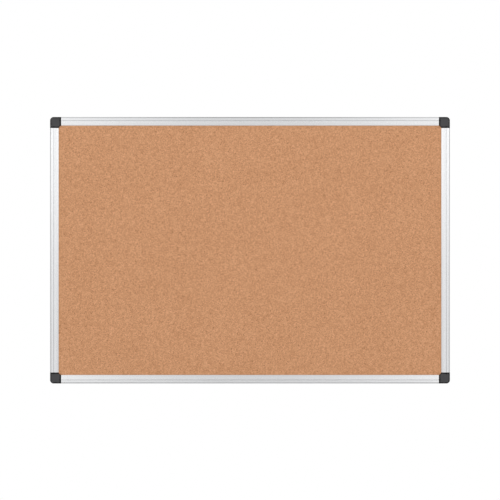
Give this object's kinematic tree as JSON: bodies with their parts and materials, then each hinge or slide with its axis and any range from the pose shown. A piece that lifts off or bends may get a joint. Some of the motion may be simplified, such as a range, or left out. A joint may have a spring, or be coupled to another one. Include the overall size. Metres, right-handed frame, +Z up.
{
  "type": "cork bulletin board",
  "caption": "Rectangular wall board with a cork pin surface in a hollow aluminium frame, with push-fit plastic corner caps that hide the wall-screw holes.",
  "frame": {"origin": "centre of the pattern of wall-screw holes, in the back plane of the frame, which lies on the wall", "axes": "+X along the board's long side, to the right as seen from the front; +Y out of the back, into the wall; +Z up"},
  "size_m": [0.9, 0.0156, 0.6],
  "materials": {
    "rail_aluminium": "satin anodised",
    "cork": "fine-grained agglomerated cork, lightly sanded",
    "fibreboard": "raw soft fibreboard",
    "kraft_paper": "unbleached kraft",
    "base_plastic": "fine texture",
    "cap_plastic": "fine texture",
    "screw_steel": "zinc plated"
  },
  "bodies": {
    "frame": {"rail_top": "rail_aluminium", "rail_bottom": "rail_aluminium", "rail_left": "rail_aluminium", "rail_right": "rail_aluminium", "cork_sheet": "cork", "core_board": "fibreboard", "backing_sheet": "kraft_paper", "corner_base_bottom_left": "base_plastic", "corner_base_bottom_right": "base_plastic", "corner_base_top_left": "base_plastic", "corner_base_top_right": "base_plastic", "screw_rail_bottom_left_end": "screw_steel", "screw_rail_bottom_right_end": "screw_steel", "screw_rail_top_left_end": "screw_steel", "screw_rail_top_right_end": "screw_steel", "screw_rail_left_bottom_end": "screw_steel", "screw_rail_right_bottom_end": "screw_steel", "screw_rail_left_top_end": "screw_steel", "screw_rail_right_top_end": "screw_steel"},
    "cap_bottom_left": {"corner_cap_bottom_left": "cap_plastic"},
    "cap_bottom_right": {"corner_cap_bottom_right": "cap_plastic"},
    "cap_top_left": {"corner_cap_top_left": "cap_plastic"},
    "cap_top_right": {"corner_cap_top_right": "cap_plastic"}
  },
  "joints": [
    {"name": "cap_bottom_left_pull_off", "type": "slide", "parent": "frame", "child": "cap_bottom_left", "axis": [0, -1, 0], "range_m": [0, 0.02]},
    {"name": "cap_bottom_right_pull_off", "type": "slide", "parent": "frame", "child": "cap_bottom_right", "axis": [0, -1, 0], "range_m": [0, 0.02]},
    {"name": "cap_top_left_pull_off", "type": "slide", "parent": "frame", "child": "cap_top_left", "axis": [0, -1, 0], "range_m": [0, 0.02]},
    {"name": "cap_top_right_pull_off", "type": "slide", "parent": "frame", "child": "cap_top_right", "axis": [0, -1, 0], "range_m": [0, 0.02]}
  ]
}
